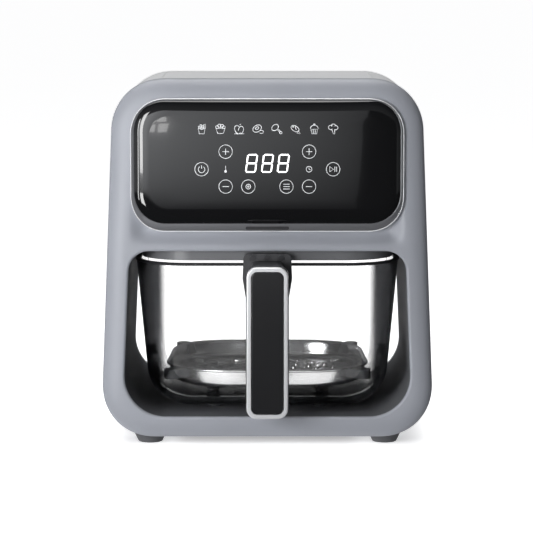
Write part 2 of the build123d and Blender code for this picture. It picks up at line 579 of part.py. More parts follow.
def make_handle():
    shield = [(-BRACKET_LOW_HALF, BRACKET_LOW), (BRACKET_LOW_HALF, BRACKET_LOW),
              (BRACKET_HALF, BRACKET_WIDE_Z), (BRACKET_HALF - 1, BRACKET_TOP),
              (-BRACKET_HALF + 1, BRACKET_TOP), (-BRACKET_HALF, BRACKET_WIDE_Z)]
    plate = prism(shield, [8, 8, 10, 5, 5, 10], BRACKET_FRONT, VESSEL_FRONT + 14)
    plate = plate - vessel_solid(-0.05, VESSEL_BOTTOM, VESSEL_TOP, 0)
    plate = plate & prism(shield, 1, BRACKET_FRONT, VESSEL_FRONT + 14)
    above = block(-60, 60, VESSEL_FRONT - BAND_WALL - 0.1, VESSEL_FRONT + 40, BAND_TOP - BAND_HEIGHT - 0.1, 190)
    plate = plate - above
    plate = plate - [Pos(0, BRACKET_FRONT, 0) * pin_y(x, z, -0.1, 1.2, 6.4) for x, z in SCREW_PLACES]
    plate = plate - [Pos(0, BRACKET_FRONT, 0) * pin_y(x, z, 0, 5, 2.9) for x, z in SCREW_PLACES]
    parts["handle_bracket"] = plate
    parts["handle_screws"] = [
        Pos(0, BRACKET_FRONT, 0) * (pin_y(x, z, 0, 1.1, 6) + pin_y(x, z, 1, 4.8, 2.8)) for x, z in SCREW_PLACES]

    def bar(half, low, high, radius, y0, y1):
        return prism([(-half, low), (half, low), (half, high), (-half, high)], radius, y0, y1)

    grip = bar(GRIP_HALF + 0.6, GRIP_LOW - 0.6, GRIP_HIGH + 0.6, 10, GRIP_FRONT + FRAME_DEPTH, GRIP_BACK)
    grip = fillet(grip.faces().sort_by(Axis.Y)[-1].edges(), 6)
    core = bar(GRIP_HALF - GRIP_FRAME - 0.1, GRIP_LOW + GRIP_FRAME + 0.1, GRIP_HIGH - GRIP_FRAME - 0.1, 5.8,
               GRIP_FRONT + 3, GRIP_FRONT + FRAME_DEPTH)
    neck = block(-NECK_HALF, NECK_HALF, GRIP_BACK - 8, BRACKET_FRONT, NECK_LOW, NECK_HIGH - 2)
    neck = fillet(neck.edges().filter_by(Axis.Y), 6)
    parts["handle_grip"] = grip + core + neck
    frame = bar(GRIP_HALF, GRIP_LOW, GRIP_HIGH, 9.5, GRIP_FRONT, GRIP_FRONT + FRAME_DEPTH)
    frame = fillet(frame.faces().sort_by(Axis.Y)[0].edges(), 1.6)
    hole = bar(GRIP_HALF - GRIP_FRAME, GRIP_LOW + GRIP_FRAME, GRIP_HIGH - GRIP_FRAME, 6,
               GRIP_FRONT - 1, GRIP_FRONT + FRAME_DEPTH + 1)
    parts["handle_frame"] = frame - hole
    insert = bar(GRIP_HALF - GRIP_FRAME - 0.1, GRIP_LOW + GRIP_FRAME + 0.1, GRIP_HIGH - GRIP_FRAME - 0.1, 5.8,
                 GRIP_FRONT + 0.4, GRIP_FRONT + 3)
    parts["handle_insert"] = fillet(insert.faces().sort_by(Axis.Y)[0].edges(), 1.2)


# ---------------------------------------------------------------- crisper tray

TRAY_WALL_LEAN = 26.0
TRAY_FOOT_PLACES = [(sx * 52, BASKET_Y + sy * 50) for sx in (-1, 1) for sy in (-1, 1)]
TRAY_HOLE_D = 4.5
BUMPER_X = 88.5              # centre of a bumper's round end
BUMPER_Y = 83.5
BUMPER_D = 16.0


def tray_solid(inset, low, high):
    """The tray's dished form as a full solid: its wall leans outwards."""
    base = TRAY_HALF - (TRAY_TOP - TRAY_BOTTOM) * sin(radians(TRAY_WALL_LEAN)) - 1
    face = Pos(0, BASKET_Y, low) * RectangleRounded(2 * (base - inset), 2 * (base - inset), TRAY_R - inset)
    return extrude(face, amount=high - low, taper=-TRAY_WALL_LEAN)


def make_tray():
    outer = tray_solid(0, TRAY_BOTTOM, TRAY_TOP - 1)
    outer = fillet(outer.faces().sort_by(Axis.Z)[0].edges(), 5)
    inner = tray_solid(TRAY_SHEET, TRAY_BOTTOM + TRAY_SHEET, TRAY_TOP + 2)
    inner = fillet(inner.faces().sort_by(Axis.Z)[0].edges(), 4)
    lip = round_slab(TRAY_HALF, TRAY_HALF, TRAY_R + 6, TRAY_TOP - 1.6, TRAY_TOP)
    holes = []
    for ring in range(1, 7):
        count = 6 * ring
        for step in range(count):
            angle = radians(360 * step / count + 15 * (ring % 2))
            x, y = 12 * ring * cos(angle), 12 * ring * sin(angle)
            holes.append((x, BASKET_Y + y))
    tray = outer + lip - inner
    tray = tray - [pin(x, y, TRAY_BOTTOM - 3, TRAY_BOTTOM + 6, TRAY_HOLE_D) for x, y in holes]
    parts["crisper_tray"] = tray

    floor = VESSEL_BOTTOM + GLASS_FLOOR
    parts["tray_feet"] = [pin(x, y, floor + 0.4, TRAY_BOTTOM, 11) for x, y in TRAY_FOOT_PLACES]
    bumpers = []
    for sx in (-1, 1):
        for sy in (-1, 1):
            place = Pos(sx * BUMPER_X, BASKET_Y + sy * BUMPER_Y, TRAY_TOP - 10) * Rot(0, 0, 45 * sx * sy)
            arm = place * Pos(-sx * 10, 0, 0) * SlotCenterToCenter(20, BUMPER_D)
            bumpers.append(extrude(arm, amount=9) - outer - lip)
    parts["tray_bumpers"] = bumpers
    parts["basket_rest_pads"] = [
        pin(x, y, TUNNEL_LOW, VESSEL_BOTTOM - 0.4, 16) for x, y in corner_places(50, 60)]


def write_parts():
    os.makedirs("parts", exist_ok=True)
    for name, shape in parts.items():
        if isinstance(shape, list):
            shape = Compound(children=[piece.solid() for piece in shape])
        export_step(shape, "parts/" + name + ".step")


def main():
    make_covers()
    make_rear_fittings()
    make_liner()
    make_feet()
    make_panel()
    make_heating_head()
    make_fan()
    make_motor()
    make_switch()
    make_vessel()
    make_handle()
    make_tray()
    write_parts()


if __name__ == "__main__":
    main()
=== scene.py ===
"""Air fryer with a glass basket: the looks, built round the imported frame. All lengths are in metres."""
import json
from math import cos, hypot, pi, radians, sin

import bmesh
import bpy
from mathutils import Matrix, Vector


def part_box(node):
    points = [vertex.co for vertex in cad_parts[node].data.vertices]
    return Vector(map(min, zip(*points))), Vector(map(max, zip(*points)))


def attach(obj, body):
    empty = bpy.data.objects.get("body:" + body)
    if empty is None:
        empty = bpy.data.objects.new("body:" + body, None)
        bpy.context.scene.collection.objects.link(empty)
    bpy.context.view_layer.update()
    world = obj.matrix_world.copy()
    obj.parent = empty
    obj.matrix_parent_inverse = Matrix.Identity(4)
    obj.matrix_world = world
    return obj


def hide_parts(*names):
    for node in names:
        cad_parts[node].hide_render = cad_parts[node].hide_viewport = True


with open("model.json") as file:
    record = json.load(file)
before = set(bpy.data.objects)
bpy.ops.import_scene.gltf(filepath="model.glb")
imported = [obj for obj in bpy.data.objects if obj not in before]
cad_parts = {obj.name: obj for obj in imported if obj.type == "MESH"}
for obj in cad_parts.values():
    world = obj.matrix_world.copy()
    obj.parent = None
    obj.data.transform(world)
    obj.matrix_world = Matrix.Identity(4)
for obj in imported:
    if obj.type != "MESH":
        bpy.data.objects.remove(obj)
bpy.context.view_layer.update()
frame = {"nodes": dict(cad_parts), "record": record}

MM = 0.001
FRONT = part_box("front_housing")[0][1]
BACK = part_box("rear_cover")[1][1]
BODY_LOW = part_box("front_housing")[0][2]
BODY_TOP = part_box("front_housing")[1][2]
BASKET_Y = 22.5 * MM          # the middle of the basket, and the fan's axis
ARC_STEPS = 16
SIDE_STEPS = 12


# ------------------------------------------------------------------ mesh helpers

def add_mesh(name, points, faces, smooth=True):
    mesh = bpy.data.meshes.new(name)
    mesh.from_pydata([tuple(p) for p in points], [], faces)
    mesh.validate()
    mesh.update()
    if smooth:
        mesh.shade_smooth()
    obj = bpy.data.objects.new(name, mesh)
    bpy.context.scene.collection.objects.link(obj)
    return obj


def loft(name, rings, wrap=False, cap_first=False, cap_last=False):
    """Quads between closed rings that have equal numbers of points; wrap joins the last to the first."""
    count = len(rings[0])
    points = [p for ring in rings for p in ring]
    faces = []
    pairs = len(rings) if wrap else len(rings) - 1
    for i in range(pairs):
        a, b = i * count, ((i + 1) % len(rings)) * count
        for k in range(count):
            n = (k + 1) % count
            faces.append((a + k, a + n, b + n, b + k))
    if cap_first:
        faces.append(tuple(range(count - 1, -1, -1)))
    if cap_last:
        last = (len(rings) - 1) * count
        faces.append(tuple(range(last, last + count)))
    return add_mesh(name, points, faces)


def outward(obj):
    """Make the face normals consistent and pointing outwards."""
    work = bmesh.new()
    work.from_mesh(obj.data)
    bmesh.ops.recalc_face_normals(work, faces=work.faces)
    work.to_mesh(obj.data)
    work.free()
    return obj


def sharpen(obj, degrees=35):
    """Smooth shading, but sharp where faces meet at more than this angle."""
    obj.data.shade_smooth()
    obj.data.set_sharp_from_angle(angle=radians(degrees))
    return obj


def bevel(obj, width, segments=3, degrees=30):
    mod = obj.modifiers.new("bevel", "BEVEL")
    mod.width = width
    mod.segments = segments
    mod.limit_method = "ANGLE"
    mod.angle_limit = radians(degrees)
    return obj


def rounded_outline(half_low, half_high, low, high, r_low, r_high, power=2.0):
    """A closed outline in X and Z with rounded corners; a power over 2 gives squarer, softer corners."""
    corners = [(half_low - r_low, low + r_low, r_low, -90), (half_high - r_high, high - r_high, r_high, 0),
               (-half_high + r_high, high - r_high, r_high, 90), (-half_low + r_low, low + r_low, r_low, 180)]
    points = []
    for index, (cx, cz, radius, start) in enumerate(corners):
        for step in range(ARC_STEPS + 1):
            angle = radians(start + 90 * step / ARC_STEPS)
            c, s = cos(angle), sin(angle)
            stretch = (abs(c) ** power + abs(s) ** power) ** (-1 / power)
            points.append((cx + radius * stretch * c, cz + radius * stretch * s))
        nx, nz, next_radius, next_start = corners[(index + 1) % 4]
        x0, z0 = points[-1]
        x1 = nx + next_radius * cos(radians(next_start))
        z1 = nz + next_radius * sin(radians(next_start))
        for step in range(1, SIDE_STEPS):
            t = step / SIDE_STEPS
            points.append((x0 + (x1 - x0) * t, z0 + (z1 - z0) * t))
    return points


def leaning_outline(half_low, half_high, low, high, r_low, r_high, power=2.0):
    """A rounded outline whose half widths are given at its very bottom and top, before rounding."""
    lean = (half_low - half_high) / (high - low)
    return rounded_outline(half_low - lean * r_low, half_high + lean * r_high, low, high, r_low, r_high, power)


def ring_at(outline, y):
    return [Vector((x, y, z)) for x, z in outline]


def plan_outline(half_x, half_y, radius, power=2.0):
    """A closed rounded rectangle in X and Y."""
    return rounded_outline(half_x, half_x, -half_y, half_y, radius, radius, power)


def plan_ring(outline, middle_y, z):
    return [Vector((x, middle_y + y, z)) for x, y in outline]


# ------------------------------------------------------------------ materials

def new_material(name):
    material = bpy.data.materials.new(name)
    material.use_nodes = True
    nodes = material.node_tree.nodes
    return material, nodes, material.node_tree.links, nodes["Principled BSDF"]


def noise_node(nodes, links, scale, detail=3.0, stretch=(1, 1, 1)):
    """Noise on object coordinates in metres; stretch makes grain run along one axis."""
    place = nodes.new("ShaderNodeTexCoord")
    mapping = nodes.new("ShaderNodeMapping")
    mapping.inputs["Scale"].default_value = stretch
    noise = nodes.new("ShaderNodeTexNoise")
    noise.inputs["Scale"].default_value = scale
    noise.inputs["Detail"].default_value = detail
    links.new(place.outputs["Object"], mapping.inputs["Vector"])
    links.new(mapping.outputs["Vector"], noise.inputs["Vector"])
    return noise


def ramp_node(nodes, links, source, low, high, start=0.35, end=0.65):
    ramp = nodes.new("ShaderNodeValToRGB")
    ramp.color_ramp.elements[0].position = start
    ramp.color_ramp.elements[1].position = end
    ramp.color_ramp.elements[0].color = (*low, 1)
    ramp.color_ramp.elements[1].color = (*high, 1)
    links.new(source, ramp.inputs["Fac"])
    return ramp


def bump_from(nodes, links, source, strength, distance):
    bump = nodes.new("ShaderNodeBump")
    bump.inputs["Strength"].default_value = strength
    bump.inputs["Distance"].default_value = distance
    links.new(source, bump.inputs["Height"])
    return bump


def grained(name, color, vary=0.06, roughness=0.5, rough_vary=0.06, scale=900, bump=0.08, metallic=0.0,
            stretch=(1, 1, 1), coat=0.0, coat_roughness=0.1, specular=0.5, cloud_scale=9):
    """Fine-grained surface: small grain in bump and roughness, a soft large-scale drift in colour."""
    material, nodes, links, shader = new_material(name)
    cloud = noise_node(nodes, links, cloud_scale, 2.0)
    low = tuple(c * (1 - vary) for c in color)
    high = tuple(min(1.0, c * (1 + vary)) for c in color)
    tint = ramp_node(nodes, links, cloud.outputs["Fac"], low, high)
    links.new(tint.outputs["Color"], shader.inputs["Base Color"])
    grain = noise_node(nodes, links, scale, 3.0, stretch)
    rough = nodes.new("ShaderNodeMapRange")
    rough.inputs["To Min"].default_value = max(0.02, roughness - rough_vary)
    rough.inputs["To Max"].default_value = roughness + rough_vary
    links.new(grain.outputs["Fac"], rough.inputs["Value"])
    links.new(rough.outputs["Result"], shader.inputs["Roughness"])
    relief = bump_from(nodes, links, grain.outputs["Fac"], bump, 0.0002)
    links.new(relief.outputs["Normal"], shader.inputs["Normal"])
    shader.inputs["Metallic"].default_value = metallic
    shader.inputs["Specular IOR Level"].default_value = specular
    shader.inputs["Coat Weight"].default_value = coat
    shader.inputs["Coat Roughness"].default_value = coat_roughness
    return material


def mapped(nodes, links, source, low, high, smooth=True):
    """0 to 1 as the source goes from low to high."""
    node = nodes.new("ShaderNodeMapRange")
    if smooth:
        node.interpolation_type = "SMOOTHSTEP"
    node.inputs["From Min"].default_value = low
    node.inputs["From Max"].default_value = high
    links.new(source, node.inputs["Value"])
    return node.outputs["Result"]


def computed(nodes, links, operation, first, second=None):
    node = nodes.new("ShaderNodeMath")
    node.operation = operation
    links.new(first, node.inputs[0])
    if second is not None:
        if isinstance(second, float):
            node.inputs[1].default_value = second
        else:
            links.new(second, node.inputs[1])
    return node.outputs["Value"]


def object_axes(nodes, links):
    """Sockets for the object's own X, Y and Z in metres."""
    place = nodes.new("ShaderNodeTexCoord")
    split = nodes.new("ShaderNodeSeparateXYZ")
    links.new(place.outputs["Object"], split.inputs["Vector"])
    return split.outputs["X"], split.outputs["Y"], split.outputs["Z"]


# Painted shade on the glass, in place of the dark tunnel walls seen in it from in front; where it darkens, as (clear,
# dark): out to the side, forward of its middle, and down to its foot
PAINTED_SHADE_X = (92.5 * MM, 101.5 * MM)
PAINTED_SHADE_Y = (-45 * MM, -80 * MM)
PAINTED_SHADE_Z = (50 * MM, 34 * MM)
PAINTED_SHADE_FOOT_SHARE = 0.6       # how dark the painted shade in the foot is, against the corners


def glass_material(name, tint, painted_shade, middle_y):
    """Clear glass with painted shade in its two front corners and in its foot, in place of the dark tunnel seen in it
    from in front.
    """
    material, nodes, links, shader = new_material(name)
    smear = noise_node(nodes, links, 30, 2.0)
    rough = nodes.new("ShaderNodeMapRange")
    rough.inputs["To Min"].default_value = 0.0
    rough.inputs["To Max"].default_value = 0.02
    links.new(smear.outputs["Fac"], rough.inputs["Value"])
    links.new(rough.outputs["Result"], shader.inputs["Roughness"])
    x, y, z = object_axes(nodes, links)
    across = computed(nodes, links, "ABSOLUTE", x)
    along = computed(nodes, links, "SUBTRACT", y, middle_y)
    # painted shade mask: the two front corners, and the foot
    corner = computed(nodes, links, "MULTIPLY", mapped(nodes, links, across, *PAINTED_SHADE_X),
                      mapped(nodes, links, along, *PAINTED_SHADE_Y))
    foot = computed(nodes, links, "MULTIPLY", mapped(nodes, links, z, *PAINTED_SHADE_Z), PAINTED_SHADE_FOOT_SHARE)
    share = computed(nodes, links, "MAXIMUM", corner, foot)
    ramp = ramp_node(nodes, links, share, tint, painted_shade, 0.0, 1.0)
    links.new(ramp.outputs["Color"], shader.inputs["Base Color"])
    shader.inputs["Transmission Weight"].default_value = 1.0
    shader.inputs["IOR"].default_value = 1.47
    return material


def glowing(name, color, strength):
    """Printed or lit white marks: bright, with a slight unevenness."""
    material, nodes, links, shader = new_material(name)
    speck = noise_node(nodes, links, 700, 2.0)
    tint = ramp_node(nodes, links, speck.outputs["Fac"], tuple(c * 0.9 for c in color), color)
    links.new(tint.outputs["Color"], shader.inputs["Base Color"])
    links.new(tint.outputs["Color"], shader.inputs["Emission Color"])
    shader.inputs["Emission Strength"].default_value = strength
    shader.inputs["Roughness"].default_value = 0.5
    return material


LOOKS = {
    "housing_grey": grained("bezel_paint", (0.318, 0.329, 0.360), roughness=0.44, scale=1600, bump=0.05, vary=0.03),
    "cover_grey": grained("cover_paint", (0.66, 0.665, 0.67), roughness=0.42, scale=1600, bump=0.05, vary=0.03),
    "liner_grey": grained("liner_plastic", (0.135, 0.138, 0.146), roughness=0.58, scale=1300, bump=0.08,
                          specular=0.15),
    "dark_plastic": grained("dark_plastic", (0.022, 0.022, 0.024), roughness=0.5, scale=1300, bump=0.15),
    "panel_black": grained("panel_gloss", (0.006, 0.0062, 0.007), roughness=0.07, rough_vary=0.012, scale=60,
                           bump=0.0, coat=1.0, coat_roughness=0.02),
    "display_black": grained("display_filter", (0.01, 0.01, 0.011), roughness=0.2, scale=700, bump=0.02),
    "chrome_trim": grained("plated_chrome", (0.83, 0.84, 0.85), roughness=0.07, rough_vary=0.02, scale=90,
                           bump=0.0, metallic=1.0, vary=0.02),
    "handle_black": grained("handle_plastic", (0.026, 0.026, 0.028), roughness=0.42, scale=1500, bump=0.1),
    "insert_black": grained("insert_gloss", (0.014, 0.014, 0.015), roughness=0.22, rough_vary=0.02, scale=80,
                            bump=0.0, coat=0.8, coat_roughness=0.06),
    # the glass's second colour is the painted shade of its front corners and foot
    "clear_glass": glass_material("clear_glass", (0.99, 0.99, 0.99), (0.045, 0.046, 0.049), BASKET_Y),
    "steel": grained("brushed_steel", (0.60, 0.60, 0.60), roughness=0.24, rough_vary=0.08, scale=260, bump=0.05,
                     metallic=1.0, stretch=(1, 1, 14), vary=0.08),
    "screw_steel": grained("zinc_screw", (0.55, 0.55, 0.56), roughness=0.3, scale=900, bump=0.05, metallic=1.0),
    "spring_steel": grained("spring_steel", (0.62, 0.60, 0.52), roughness=0.3, scale=900, metallic=1.0),
    "element_steel": grained("element_sheath", (0.10, 0.095, 0.09), roughness=0.5, scale=500, bump=0.2, metallic=0.8),
    "aluminised_sheet": grained("aluminised_sheet", (0.62, 0.62, 0.63), roughness=0.34, scale=400, bump=0.08,
                                metallic=1.0),
    "mineral_wool": grained("mineral_wool", (0.72, 0.70, 0.62), roughness=0.95, scale=350, bump=0.9, vary=0.15),
    "motor_iron": grained("laminations", (0.17, 0.17, 0.175), roughness=0.5, scale=200, bump=0.5, metallic=0.7,
                          stretch=(0.1, 0.1, 9)),
    "copper_coil": grained("copper_winding", (0.50, 0.20, 0.08), roughness=0.35, scale=300, bump=0.5, metallic=0.9,
                           stretch=(0.2, 6, 0.2)),
    "bronze_bush": grained("bronze_bush", (0.42, 0.29, 0.13), roughness=0.45, scale=700, bump=0.2, metallic=1.0),
    "board_green": grained("circuit_board", (0.02, 0.12, 0.06), roughness=0.35, scale=500, bump=0.1),
    "switch_white": grained("switch_white", (0.7, 0.7, 0.67), roughness=0.4, scale=900, bump=0.05),
    "silicone_black": grained("silicone", (0.05, 0.052, 0.056), roughness=0.6, scale=1100, bump=0.1),
    "foot_rubber": grained("foot_rubber", (0.085, 0.086, 0.09), roughness=0.62, scale=1100, bump=0.25, vary=0.1),
}


def set_look(obj, slot):
    obj.data.materials.clear()
    obj.data.materials.append(LOOKS[slot])


SATIN_PLATE = grained("satin_plating", (0.96, 0.96, 0.97), roughness=0.16, rough_vary=0.04, scale=300, bump=0.02,
                      metallic=0.45, vary=0.02)
BRIGHT_PLATE = grained("bright_plating", (0.97, 0.97, 0.98), roughness=0.12, rough_vary=0.03, scale=300, bump=0.02,
                       metallic=0.15, vary=0.02, coat=0.6, coat_roughness=0.05)
SKIRT_GREY = grained("skirt_satin", (0.15, 0.152, 0.158), roughness=0.32, scale=900, bump=0.04)
HOOD_GREY = grained("hood_plastic", (0.050, 0.050, 0.053), roughness=0.4, scale=1500, bump=0.08)
SCREW_DARK = grained("blackened_screw", (0.10, 0.10, 0.105), roughness=0.32, scale=900, bump=0.05, metallic=0.9)
LEDGE_GREY = grained("ledge_satin", (0.16, 0.162, 0.17), roughness=0.3, scale=1200, bump=0.03, metallic=0.35,
                     vary=0.04)
PRINT_WHITE = glowing("printed_white", (0.82, 0.83, 0.84), 0.35)
DIGIT_WHITE = glowing("lit_digits", (1.0, 1.0, 1.0), 1.6)

# CAD nodes that keep their own mesh: a finish other than their slot's, and edges rounded off
OWN_LOOK = {"handle_frame": SATIN_PLATE, "head_skirt": SKIRT_GREY, "handle_bracket": HOOD_GREY,
            "handle_screws": SCREW_DARK}
SOFT_EDGES = (("handle_frame", 1.1 * MM, 3), ("handle_insert", 0.6 * MM, 2), ("handle_bracket", 1.2 * MM, 3))

SLOT_OF = {subpart["node"]: subpart["material_slot"] for subpart in frame["record"]["subparts"]}
for node_name, node_object in frame["nodes"].items():
    set_look(node_object, SLOT_OF[node_name])
    sharpen(node_object, 30)
for node_name, look in OWN_LOOK.items():
    frame["nodes"][node_name].data.materials[0] = look
for node_name, edge_width, edge_segments in SOFT_EDGES:
    bevel(frame["nodes"][node_name], edge_width, edge_segments)


def finish_piece(obj, body, slot, replaced=()):
    """Material, slot, body and the CAD nodes that the piece stands for."""
    if not obj.data.materials:
        set_look(obj, slot)
    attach(obj, body)
    if replaced:
        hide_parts(*replaced)
    return obj


# ------------------------------------------------------------------ the body's outline and the tunnel's

BODY_HALF_LOW = 155.4 * MM
BODY_HALF_HIGH = 142.2 * MM
BODY_R_LOW = 49 * MM
BODY_R_HIGH = 50 * MM
BODY_SHELL = 2.5 * MM
CORNER_POWER = 2.12          # squarer, softer corners than an arc's
BEZEL_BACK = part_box("front_housing")[1][1]
EDGE_WIDE = 17.5 * MM        # the bezel's soft outer edge, seen from the front
EDGE_DEEP = 10 * MM          # and from the side
LIP_ROUND = 2.4 * MM
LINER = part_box("tunnel_liner")
LINER_WALL = 2.2 * MM
TUNNEL_LOW = LINER[0][2] + LINER_WALL
TUNNEL_HIGH = LINER[1][2] - LINER_WALL
TUNNEL_HALF_LOW = 134.3 * MM
TUNNEL_HALF_HIGH = 127.6 * MM
TUNNEL_R_LOW = 38 * MM
TUNNEL_R_HIGH = 19 * MM
LIP_DEPTH = 8 * MM
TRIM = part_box("panel_trim")
TRIM_HALF = TRIM[1][0]
TRIM_LOW, TRIM_HIGH = TRIM[0][2], TRIM[1][2]
TRIM_R = 33 * MM


def body_ring(inset, y):
    outline = leaning_outline(BODY_HALF_LOW - inset, BODY_HALF_HIGH - inset, BODY_LOW + inset, BODY_TOP - inset,
                              BODY_R_LOW - inset, BODY_R_HIGH - inset, CORNER_POWER)
    return ring_at(outline, y)


def tunnel_ring(grow, y):
    outline = leaning_outline(TUNNEL_HALF_LOW + grow, TUNNEL_HALF_HIGH + grow, TUNNEL_LOW - grow, TUNNEL_HIGH + grow,
                              TUNNEL_R_LOW + grow, TUNNEL_R_HIGH + grow)
    return ring_at(outline, y)


DIP_LOW = 187.5 * MM         # the face starts to fall back below the panel at this height
DIP_HIGH = TRIM_LOW + 0.5 * MM
DIP_DEPTH = 6.5 * MM
DIP_HALF = 112 * MM          # and dies out sideways past this
DIP_FADE = 16 * MM
DIP_TOP = TRIM_LOW + 30 * MM  # hidden behind the panel, it comes forward again from here
DIP_TOP_FADE = 40 * MM       # over this height
FACE_SHARES = (0.7, 0.4, 0.25, 0.17, 0.145, 0.13, 0.115, 0.10, 0.085, 0.07, 0.055, 0.04, 0.025, 0.01)
PANEL_BACK = FRONT + DIP_DEPTH + 0.5 * MM


def eased(value):
    value = min(max(value, 0.0), 1.0)
    return value * value * (3 - 2 * value)


def dip(point):
    """The face's fall towards the panel's lower edge."""
    down = eased((point.z - DIP_LOW) / (DIP_HIGH - DIP_LOW))
    side = 1 - eased((abs(point.x) - DIP_HALF) / DIP_FADE)
    above = 1 - eased((point.z - DIP_TOP) / DIP_TOP_FADE)
    return Vector((point.x, point.y + DIP_DEPTH * down * side * above, point.z))


def make_bezel():
    """The front shell: a soft outer edge, a nearly flat face and a small round lip into the tunnel."""
    rings = [body_ring(0, BEZEL_BACK)]
    for step in range(11):
        angle = radians(9 * step)
        rings.append(body_ring(EDGE_WIDE * (1 - cos(angle)), FRONT + EDGE_DEEP * (1 - sin(angle))))
    outer, inner = rings[-1], tunnel_ring(LIP_ROUND, FRONT)
    for share in FACE_SHARES:
        rings.append([dip(b.lerp(a, share)) for a, b in zip(outer, inner)])
    for step in range(9):
        angle = radians(11.25 * step)
        rings.append(tunnel_ring(LIP_ROUND * (1 - sin(angle)), FRONT + LIP_ROUND * (1 - cos(angle))))
    rings.append(tunnel_ring(LINER_WALL, FRONT + LIP_ROUND))
    rings.append(tunnel_ring(LINER_WALL, PANEL_BACK + 2 * MM))
    rings.append(body_ring(BODY_SHELL + EDGE_WIDE * 0.3, PANEL_BACK + 2 * MM))
    rings.append(body_ring(BODY_SHELL, BEZEL_BACK))
    bezel = outward(loft("front_bezel", rings, wrap=True))
    sharpen(bezel, 50)
    finish_piece(bezel, "housing", "housing_grey", ["front_housing"])

    start = FRONT + LIP_ROUND
    lip = outward(loft("tunnel_lip", [tunnel_ring(0, start), tunnel_ring(0, FRONT + LIP_DEPTH),
                                      tunnel_ring(LINER_WALL, FRONT + LIP_DEPTH), tunnel_ring(LINER_WALL, start)],
                       wrap=True))
    sharpen(lip, 50)
    finish_piece(lip, "housing", "liner_grey")


make_bezel()


# ------------------------------------------------------------------ control panel

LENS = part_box("control_panel")
LENS_HALF = LENS[1][0]
LENS_LOW, LENS_HIGH = LENS[0][2], LENS[1][2]
LENS_R = 30 * MM
LENS_FRONT = LENS[0][1] - 2 * MM
LENS_EDGE = FRONT - 1.6 * MM
LENS_MID_Z = (LENS_LOW + LENS_HIGH) / 2
LENS_SHOULDER = 15 * MM
LENS_CROWN = 1.3 * MM


def lens_outline(inset):
    return rounded_outline(LENS_HALF - inset, LENS_HALF - inset, LENS_LOW + inset, LENS_HIGH - inset,
                           LENS_R - inset * 0.75, LENS_R - inset * 0.75, 2.1)


def crown(x, z):
    """How far the lens's middle stands in front of a point of its face."""
    u, v = x / LENS_HALF, (z - LENS_MID_Z) / (LENS_HIGH - LENS_MID_Z)
    return LENS_CROWN * (0.75 * abs(u) ** 2.6 + 0.25 * abs(v) ** 2.6)


def make_lens():
    """Black lens: a pillow with soft shoulders."""
    rings = [ring_at(lens_outline(1.5 * MM), PANEL_BACK), ring_at(lens_outline(0), PANEL_BACK)]
    for step in range(15):
        angle = radians(90 * step / 14)
        outline = lens_outline(LENS_SHOULDER * (1 - cos(angle)) ** 1.15)
        rise = (LENS_EDGE - LENS_FRONT) * sin(angle) ** 0.9
        rings.append([Vector((x, LENS_EDGE - rise + crown(x, z) * sin(angle) ** 2, z)) for x, z in outline])
    last = rings[-1]
    for share in (0.8, 0.6, 0.4, 0.2, 0.05):
        ring = []
        for point in last:
            x, z = point.x * share, LENS_MID_Z + (point.z - LENS_MID_Z) * share
            ring.append(Vector((x, LENS_FRONT + crown(x, z), z)))
        rings.append(ring)
    lens = outward(loft("panel_lens", rings, cap_first=True, cap_last=True))
    sharpen(lens, 60)
    finish_piece(lens, "housing", "panel_black", ["control_panel"])


def trim_ring(grow, y):
    outline = rounded_outline(TRIM_HALF + grow, TRIM_HALF + grow, TRIM_LOW - grow, TRIM_HIGH + grow,
                              TRIM_R + grow, TRIM_R + grow, 2.1)
    return ring_at(outline, y)


TRIM_LINE = 0.95 * MM        # the bright edge seen round the panel
LEDGE_SLOT_HALF = 20 * MM
LEDGE_SLOT_Z = (204.4 * MM, 207.4 * MM)


def make_trim():
    """A thin bright edge, and inside it a darker ledge that the lens sits on."""
    proud = TRIM[0][1]
    rings = [trim_ring(0, PANEL_BACK)]
    for step in range(7):
        angle = radians(30 * step)
        rings.append(trim_ring(-TRIM_LINE / 2 * (1 - cos(angle)), proud + TRIM_LINE * (1 - sin(angle))))
    rings.append(trim_ring(-TRIM_LINE, PANEL_BACK))
    edge = outward(loft("panel_edge", rings, wrap=True))
    sharpen(edge, 50)
    edge.data.materials.append(BRIGHT_PLATE)
    finish_piece(edge, "housing", "chrome_trim", ["panel_trim"])

    rings = [trim_ring(-TRIM_LINE * 0.8, PANEL_BACK), trim_ring(-TRIM_LINE * 0.8, proud + 0.9 * MM),
             ring_at(lens_outline(-0.2 * MM), proud - 0.7 * MM), ring_at(lens_outline(0.6 * MM), proud - 0.5 * MM),
             ring_at(lens_outline(0.6 * MM), PANEL_BACK)]
    ledge = outward(loft("panel_ledge", rings, wrap=True))
    sharpen(ledge, 30)
    ledge.data.materials.append(LEDGE_GREY)
    finish_piece(ledge, "housing", "chrome_trim")

    low, high = LEDGE_SLOT_Z
    half = LEDGE_SLOT_HALF
    outline = rounded_outline(half, half, low, high, (high - low) * 0.49, (high - low) * 0.49)
    slot = outward(loft("ledge_slot", [ring_at(outline, proud + 2 * MM), ring_at(outline, proud - 0.55 * MM)],
                        cap_first=True, cap_last=True))
    sharpen(slot, 30)
    finish_piece(slot, "housing", "dark_plastic")


make_lens()
make_trim()


# ------------------------------------------------------------------ printed marks and digits on the lens

MARK_LINE = 0.30 * MM
RING_LINE = 0.27 * MM
RING_R = 6.2 * MM
ICON = 1.0 * MM              # one icon is about nine of these wide
ICON_Z = 297.8 * MM
ICON_PITCH = 17.2 * MM


def on_lens(x, z, proud=0.0):
    return Vector((x, LENS_FRONT + crown(x, z) - proud, z))


